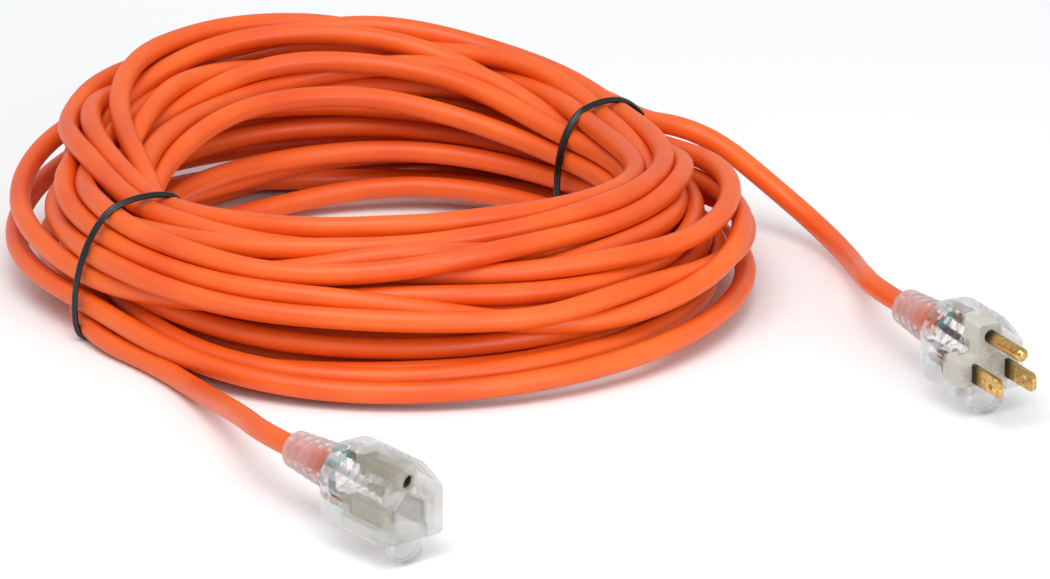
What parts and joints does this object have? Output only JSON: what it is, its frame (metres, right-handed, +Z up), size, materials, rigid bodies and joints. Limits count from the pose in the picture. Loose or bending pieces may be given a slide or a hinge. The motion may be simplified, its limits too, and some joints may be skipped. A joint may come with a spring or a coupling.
{
  "type": "extension cord",
  "caption": "Outdoor three-wire extension cord in a loose coil held by two twist ties, with a clear moulded plug and connector.",
  "frame": {"origin": "on the floor under the middle of the whole object's bounding box", "axes": "+Z up, +X to the right, +Y away from the front, where the connector lies; the cord rests on z = 0"},
  "size_m": [0.3542, 0.4078, 0.0611],
  "materials": {
    "jacket_orange": "satin orange PVC jacket",
    "clear_pvc": "clear moulded PVC",
    "carrier_beige": "pale moulded carrier",
    "block_grey": "milky moulded contact block",
    "brass": "rolled and stamped brass",
    "crimp": "dull crimped brass",
    "copper": "bare copper strands",
    "core_black": "PVC core insulation",
    "core_white": "PVC core insulation",
    "core_green": "PVC core insulation",
    "tie_black": "glossy black strip",
    "tie_wire": "steel wire"
  },
  "bodies": {
    "root": {"cord_coil": "jacket_orange", "cord_tail_plug": "jacket_orange", "cord_tail_connector": "jacket_orange", "tie_left_strip": "tie_black", "tie_right_strip": "tie_black", "tie_left_wire": "tie_wire", "tie_right_wire": "tie_wire", "plug_body": "clear_pvc", "plug_hanging_eye": "clear_pvc", "plug_blade_carrier": "carrier_beige", "plug_line_blade": "brass", "plug_neutral_blade": "brass", "plug_ground_pin": "brass", "connector_body": "clear_pvc", "connector_hanging_eye": "clear_pvc", "connector_contact_block": "block_grey", "connector_line_contact": "brass", "connector_neutral_contact": "brass", "connector_ground_contact": "brass", "plug_jacket_end": "jacket_orange", "plug_line_crimp": "crimp", "plug_line_strands": "copper", "plug_line_core": "core_black", "plug_neutral_crimp": "crimp", "plug_neutral_strands": "copper", "plug_neutral_core": "core_white", "plug_ground_crimp": "crimp", "plug_ground_strands": "copper", "plug_ground_core": "core_green", "connector_jacket_end": "jacket_orange", "connector_line_crimp": "crimp", "connector_line_strands": "copper", "connector_line_core": "core_black", "connector_neutral_crimp": "crimp", "connector_neutral_strands": "copper", "connector_neutral_core": "core_white", "connector_ground_crimp": "crimp", "connector_ground_strands": "copper", "connector_ground_core": "core_green"}
  },
  "joints": []
}
